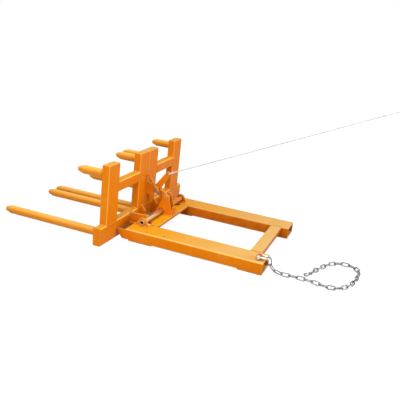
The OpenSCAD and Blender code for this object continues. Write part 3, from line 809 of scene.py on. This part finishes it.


# %% [markdown]
# Sprayed enamel over steel. It is a deep yellow orange with a soft sheen. A paler tone on
# faces that look up is a painted highlight, and so is a pale line along the corners, which
# is stronger on top. On the corners that get knocked the paint has chipped to primer and
# bright steel. The inside corners get painted shade, which also stands for dirt there. The
# sleeves and plates lie near the ground, so they carry dust on top, and painted shade lies
# low on their faces that look back or inwards.

# %% Enamel
ENAMEL = (0.77, 0.200, 0.002)
ENAMEL_PALE = (0.80, 0.228, 0.003)
ENAMEL_DEEP = (0.62, 0.135, 0.002)
# A painted highlight on faces that look up.
ENAMEL_TOP_HIGHLIGHT = (0.80, 0.335, 0.006)
# A painted highlight along the corners, also the colour of the scuffs.
HIGHLIGHT_AND_SCUFF_TONE = (0.95, 0.60, 0.20)
PAINT_TONES = (ENAMEL, ENAMEL_PALE, ENAMEL_DEEP, ENAMEL_TOP_HIGHLIGHT)
# The fourth tine tone is a painted highlight on the tops of the tines.
TINE_TONES = ((0.74, 0.235, 0.010), (0.78, 0.265, 0.014), (0.50, 0.150, 0.006), (0.93, 0.500, 0.085))
# Painted shade in inside corners, which also stands for dirt there.
CORNER_SHADE_AND_DIRT = (0.27, 0.060, 0.006)
# Painted shade low on faces that look back or inwards.
LOW_FACE_SHADE = (0.40, 0.080, 0.003)
PALE_DUST = (0.74, 0.50, 0.19)
PRIMER = (0.16, 0.11, 0.07)
BARE = (0.46, 0.42, 0.37)


def enamel(name, wear=0.20, edge_radius=0.006, corners=0.0, gloss=0.04, low_shade=0.3, back=0.3,
           dust=0.0, reach=0.05, tones=PAINT_TONES):
    """The paint of the frame and head: a deep colour with a painted highlight on top and along
    the corners, painted shade in the inside corners that also stands for dirt there, painted
    shade low on faces that look back or inwards, chipped to primer and steel where it is
    knocked. Its tones are the main one, a paler one, the deep one of fine mottling and the
    painted highlight of the tops."""
    material, tree, shader = new_material(name, IOR=1.5, Specular_IOR_Level=gloss)
    broad = ramp(tree, noise(tree, 2.2, detail=3.0), 0.3, 0.7)
    fine = ramp(tree, noise(tree, 34.0, detail=4.0), 0.3, 0.75)
    rise = use_group(tree, RISE, Low=0.25)
    edges = use_group(tree, EDGES, Radius=edge_radius, Amount=wear, Grain=85.0)
    corner_shade = use_group(tree, CORNER_SHADE_GROUP, Reach=reach, Amount=0.85)
    scuffs = use_group(tree, SCUFFS, Amount=0.45)
    colour = mixed(tree, broad, tones[0], tones[1])
    colour = mixed(tree, times(tree, fine, 0.22), colour, tones[2])
    # Painted highlight: the tops' tone on faces that look up.
    colour = mixed(tree, rise.outputs["Up"], colour, tones[3])
    if dust:
        settled = use_group(tree, SETTLED, Amount=dust)
        colour = mixed(tree, settled.outputs["Mask"], colour, PALE_DUST)
    # Painted highlight: a pale line along the corners, stronger on faces that look up.
    line = edges.outputs["Line"]
    if corners:
        line = math_node(tree, "MAXIMUM", line, times(tree, rise.outputs["Corner"], corners))
    lit = plus(tree, times(tree, rise.outputs["Up"], 0.81), 0.252)
    uneven = times(tree, lit, plus(tree, times(tree, fine, 0.4), 0.8))
    edge_highlight = math_node(tree, "MULTIPLY", line, uneven, clamp=True)
    colour = mixed(tree, edge_highlight, colour, HIGHLIGHT_AND_SCUFF_TONE)
    # Painted shade low on faces that look back or inwards.
    low_shade_node = use_group(tree, LOW_SHADE_GROUP, Amount=low_shade, Back=back)
    colour = mixed(tree, low_shade_node.outputs["Mask"], colour, LOW_FACE_SHADE)
    # Painted shade in inside corners, also standing for dirt there.
    colour = mixed(tree, corner_shade.outputs["Mask"], colour, CORNER_SHADE_AND_DIRT)
    colour = mixed(tree, scuffs.outputs["Mask"], colour, HIGHLIGHT_AND_SCUFF_TONE)
    chipped = edges.outputs["Chips"]
    depth = ramp(tree, noise(tree, 140.0, detail=2.0), 0.42, 0.58)
    colour = mixed(tree, chipped, colour, mixed(tree, depth, PRIMER, BARE))
    tree.links.new(colour, shader.inputs["Base Color"])
    dull = math_node(tree, "MAXIMUM", chipped, corner_shade.outputs["Mask"])
    rough = plus(tree, times(tree, fine, 0.10), 0.30)
    rough = plus(tree, rough, times(tree, dull, 0.3))
    tree.links.new(rough, shader.inputs["Roughness"])
    tree.links.new(times(tree, chipped, depth, 0.9), shader.inputs["Metallic"])
    peel = noise(tree, 260.0, detail=1.0, roughness=0.4)
    height = math_node(tree, "SUBTRACT", peel, times(tree, chipped, 3.0))
    bump = add_node(tree, "ShaderNodeBump", {"Strength": 0.10, "Distance": 0.0006},
                    {"Height": height, "Normal": edges.outputs["Normal"]})
    tree.links.new(bump.outputs["Normal"], shader.inputs["Normal"])
    return material


# %% [markdown]
# Bare metals. The shaft is drawn bar. Its warm tint is a painted reflection of the orange
# paint around it, and its right half takes the enamel's colour. The chain and the small
# pins are zinc plated with a faint spangle, the shackle is newer, and the bushes are oiled
# bronze. The rope is laid polyester.

# %% Metals and rope


def bare_metal(name, colour, dark, roughness, spangle=120.0, streaks=(1.0, 1.0, 1.0), enamel_half=None):
    """A metal whose tone and gloss change in small patches. The enamel's colour lies on it
    where its Y is below a first value, and thins out to bare metal at a second."""
    material, tree, shader = new_material(name, Metallic=1.0)
    coordinates = add_node(tree, "ShaderNodeTexCoord").outputs["Object"]
    mapping = add_node(tree, "ShaderNodeMapping", {"Scale": streaks}, {"Vector": coordinates})
    grain = noise(tree, spangle, detail=4.0, coordinates=mapping.outputs["Vector"])
    patch = ramp(tree, grain, 0.32, 0.72)
    tone = mixed(tree, patch, dark, colour)
    rough = plus(tree, times(tree, patch, -0.12), roughness + 0.06)
    # The enamel's colour over one half of the shaft, thinning out across Y.
    if enamel_half:
        side = add_node(tree, "ShaderNodeSeparateXYZ", links={"Vector": coordinates}).outputs["Y"]
        edge_noise = times(tree, noise(tree, 45.0, detail=4.0), 0.05)
        paint = ramp(tree, plus(tree, side, edge_noise), enamel_half[1], enamel_half[0])
        tone = mixed(tree, paint, tone, mixed(tree, patch, ENAMEL_DEEP, ENAMEL))
        tree.links.new(one_minus(tree, paint), shader.inputs["Metallic"])
        rough = plus(tree, rough, times(tree, paint, 0.2))
    tree.links.new(tone, shader.inputs["Base Color"])
    tree.links.new(rough, shader.inputs["Roughness"])
    edges = use_group(tree, EDGES, Radius=0.001, Amount=0.0, Grain=80.0)
    bump = add_node(tree, "ShaderNodeBump", {"Strength": 0.12, "Distance": 0.0004},
                    {"Height": grain, "Normal": edges.outputs["Normal"]})
    tree.links.new(bump.outputs["Normal"], shader.inputs["Normal"])
    return material


def rope_material():
    """Pale laid polyester: three strands, each of fine yarns at a slant."""
    material, tree, shader = new_material(
        "pale_rope", Roughness=0.85, Sheen_Weight=0.25, Sheen_Roughness=0.4
    )
    coordinates = add_node(tree, "ShaderNodeTexCoord").outputs["Object"]
    slant = add_node(tree, "ShaderNodeMapping", {"Rotation": (0.0, 0.44, 0.0)}, {"Vector": coordinates})
    waves = {"Scale": 420.0, "Distortion": 3.0, "Detail": 2.0, "Detail Scale": 1.5}
    yarn = add_node(tree, "ShaderNodeTexWave", waves, {"Vector": slant.outputs["Vector"]})
    soil = ramp(tree, noise(tree, 16.0, detail=5.0), 0.45, 0.8)
    tone = mixed(tree, yarn.outputs["Fac"], (0.60, 0.59, 0.55), (0.80, 0.79, 0.75))
    tone = mixed(tree, times(tree, soil, 0.4), tone, (0.38, 0.35, 0.30))
    tree.links.new(tone, shader.inputs["Base Color"])
    bump = add_node(tree, "ShaderNodeBump", {"Strength": 0.6, "Distance": 0.0006},
                    {"Height": yarn.outputs["Fac"]})
    tree.links.new(bump.outputs["Normal"], shader.inputs["Normal"])
    return material


FINISHES = {
    "paint": enamel("orange_enamel"),
    "paint_box": enamel("orange_enamel_box", corners=1.0, low_shade=0.15),
    "paint_sleeve": enamel("orange_enamel_sleeve", corners=1.0, low_shade=0.75, back=0.4, dust=0.75,
                           reach=0.12),
    "paint_plate": enamel("orange_enamel_plate", low_shade=0.9, back=1.0, dust=0.85),
    "paint_tine": enamel("orange_enamel_tine", wear=0.22, edge_radius=0.004, gloss=0.12, low_shade=0.0,
                         tones=TINE_TONES),
    # The drawn bar's warm tint is a painted reflection of the orange paint around it.
    "bright_steel": bare_metal("drawn_bar_warm_reflection", (0.90, 0.71, 0.43), (0.72, 0.52, 0.29), 0.30, 60.0,
                               (1.0, 14.0, 1.0), enamel_half=(-0.02, 0.03)),
    "galvanised": bare_metal("dull_zinc", (0.36, 0.36, 0.37), (0.13, 0.13, 0.14), 0.38),
    "galvanised_new": bare_metal("bright_zinc", (0.80, 0.78, 0.70), (0.46, 0.45, 0.42), 0.32),
    "bronze": bare_metal("oiled_bronze", (0.62, 0.40, 0.17), (0.36, 0.22, 0.10), 0.36),
    "rope": rope_material(),
}
FINISH_OF = {
    "paint_box": ("bottom_beam", "upper_bar_left", "upper_bar_right") + POSTS,
    "paint_sleeve": ("fork_sleeve_left", "fork_sleeve_right"),
    "paint_plate": ("front_cross_plate", "rear_cross_plate", "front_straps", "rear_straps"),
    "paint_tine": tuple(TINES),
    "galvanised_new": ("shackle_bow", "shackle_pin"),
}


def dress_nodes():
    """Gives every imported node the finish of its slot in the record, or its own kind of it."""
    slots = {row["node"]: row["material_slot"] for row in frame["record"]["subparts"]}
    slots.update({node: finish for finish, nodes in FINISH_OF.items() for node in nodes})
    for name, node in frame["nodes"].items():
        node.data.materials.clear()
        node.data.materials.append(FINISHES[slots[name]])


def dress_pieces():
    """Gives the new pieces their finish."""
    finish_of = {rope: "rope", eye_loop: "rope", far_loop: "rope", stiffener: "paint_plate"}
    for piece in PIECES:
        piece.data.materials.append(FINISHES[finish_of.get(piece, "paint")])


dress_nodes()
dress_pieces()
print("finishes", sorted(FINISHES))

# %% [markdown]
# A plain pale floor and soft studio light. The camera sees the floor and the sky as
# white, and glossy metal reflects that white too, but a grey sky and three lamps light
# the part. The floor is clear to the camera, so a head that tips below it still shows.

# %% Floor, lamps and sky
FLOOR_HALF, FLOOR_Z = 12.0, -0.0004
FLOOR_CLEAR, FLOOR_TONE, FLOOR_SEEN = 0.90, 0.46, 0.18


def camera_or_gloss(tree, light_path):
    """One where the camera or a glossy reflection looks, zero for all other light."""
    outputs = light_path.outputs
    return math_node(tree, "ADD", outputs["Is Camera Ray"], outputs["Is Glossy Ray"], clamp=True)


def make_floor():
    """A wide floor, white to the camera and still holding the shadow. To the camera it is
    part clear and part matt: the clear share shows the white sky or a tipped head below, and
    the matt share darkens in the shadow. Light from above reaches what is below the floor,
    and none comes up through it."""
    corners = [(-1, -1), (1, -1), (1, 1), (-1, 1)]
    mesh = bpy.data.meshes.new("floor")
    mesh.from_pydata([(x * FLOOR_HALF, y * FLOOR_HALF, FLOOR_Z) for x, y in corners], [], [(0, 1, 2, 3)])
    floor = bpy.data.objects.new("floor", mesh)
    SCENE.collection.objects.link(floor)
    material, tree, shader = new_material("pale_floor", Roughness=0.9)
    light_path = add_node(tree, "ShaderNodeLightPath")
    seen = camera_or_gloss(tree, light_path)
    less = times(tree, seen, FLOOR_SEEN - FLOOR_TONE)
    tree.links.new(plus(tree, less, FLOOR_TONE), shader.inputs["Base Color"])
    place = add_node(tree, "ShaderNodeTexCoord").outputs["Object"]
    away = add_node(tree, "ShaderNodeVectorMath", operation="LENGTH", links={0: place})
    far = add_node(tree, "ShaderNodeMapRange",
                   {"From Min": 1.6, "From Max": 5.0, "To Min": FLOOR_CLEAR, "To Max": 1.0},
                   {"Value": away.outputs["Value"]})
    clear = add_node(tree, "ShaderNodeBsdfTransparent", links={"Color": far.outputs["Result"]})
    all_clear = add_node(tree, "ShaderNodeBsdfTransparent")
    nothing = add_node(tree, "ShaderNodeEmission", {"Strength": 0.0})
    pick = add_node(tree, "ShaderNodeMixShader",
                    links={0: seen, 1: nothing.outputs[0], 2: clear.outputs[0]})
    both = add_node(tree, "ShaderNodeAddShader", links={0: shader.outputs[0], 1: pick.outputs[0]})
    from_below = add_node(tree, "ShaderNodeNewGeometry").outputs["Backfacing"]
    let_through = times(tree, light_path.outputs["Is Shadow Ray"], from_below)
    lit = add_node(tree, "ShaderNodeMixShader",
                   links={0: let_through, 1: both.outputs[0], 2: all_clear.outputs[0]})
    tree.links.new(lit.outputs[0], tree.nodes["Material Output"].inputs["Surface"])
    floor.data.materials.append(material)


SKY_LIGHT, LOWER_SKY_LIGHT = 0.36, 1.10


def make_sky():
    """A grey sky for light, white where the camera or a gloss looks at it. Its lower half
    is brighter and lights only what has tipped below the floor, which shuts it out above."""
    world = bpy.data.worlds.new("studio")
    SCENE.world = world
    world.use_nodes = True
    tree = world.node_tree
    tree.nodes.clear()
    output = tree.nodes.new("ShaderNodeOutputWorld")
    direction = add_node(tree, "ShaderNodeTexCoord").outputs["Generated"]
    height = add_node(tree, "ShaderNodeSeparateXYZ", links={"Vector": direction}).outputs["Z"]
    below = times(tree, math_node(tree, "LESS_THAN", height, 0.0), LOWER_SKY_LIGHT - SKY_LIGHT)
    fill = add_node(tree, "ShaderNodeBackground", {"Color": (0.93, 0.96, 1.0, 1)},
                    {"Strength": plus(tree, below, SKY_LIGHT)})
    white = add_node(tree, "ShaderNodeBackground", {"Color": (1, 1, 1, 1), "Strength": 1.0})
    seen = camera_or_gloss(tree, add_node(tree, "ShaderNodeLightPath"))
    pick = add_node(tree, "ShaderNodeMixShader",
                    links={0: seen, 1: fill.outputs[0], 2: white.outputs[0]})
    tree.links.new(pick.outputs[0], output.inputs["Surface"])


def make_lamp(name, place, target, size, power):
    """A soft square lamp that faces a point."""
    data = bpy.data.lights.new(name, "AREA")
    data.shape, data.size, data.energy = "SQUARE", size, power
    lamp = bpy.data.objects.new(name, data)
    place, target = np.array(place, float), np.array(target, float)
    back = unit(place - target)
    side = unit(np.cross([0.001, 0.002, 1.0], back))
    rise = np.cross(back, side)
    rows = [[side[i], rise[i], back[i], place[i]] for i in range(3)]
    lamp.matrix_world = Matrix(rows + [[0, 0, 0, 1]])
    SCENE.collection.objects.link(lamp)


MIDDLE = (-0.3, 0.0, 0.2)
make_floor()
make_sky()
make_lamp("key", (-0.6, 1.2, 3.6), MIDDLE, 2.6, 90.0)
make_lamp("fill_left", (0.2, 4.2, 1.3), MIDDLE, 2.4, 66.0)
make_lamp("fill_back", (-4.2, 0.2, 1.3), MIDDLE, 2.4, 84.0)
SCENE.view_settings.view_transform = "Standard"
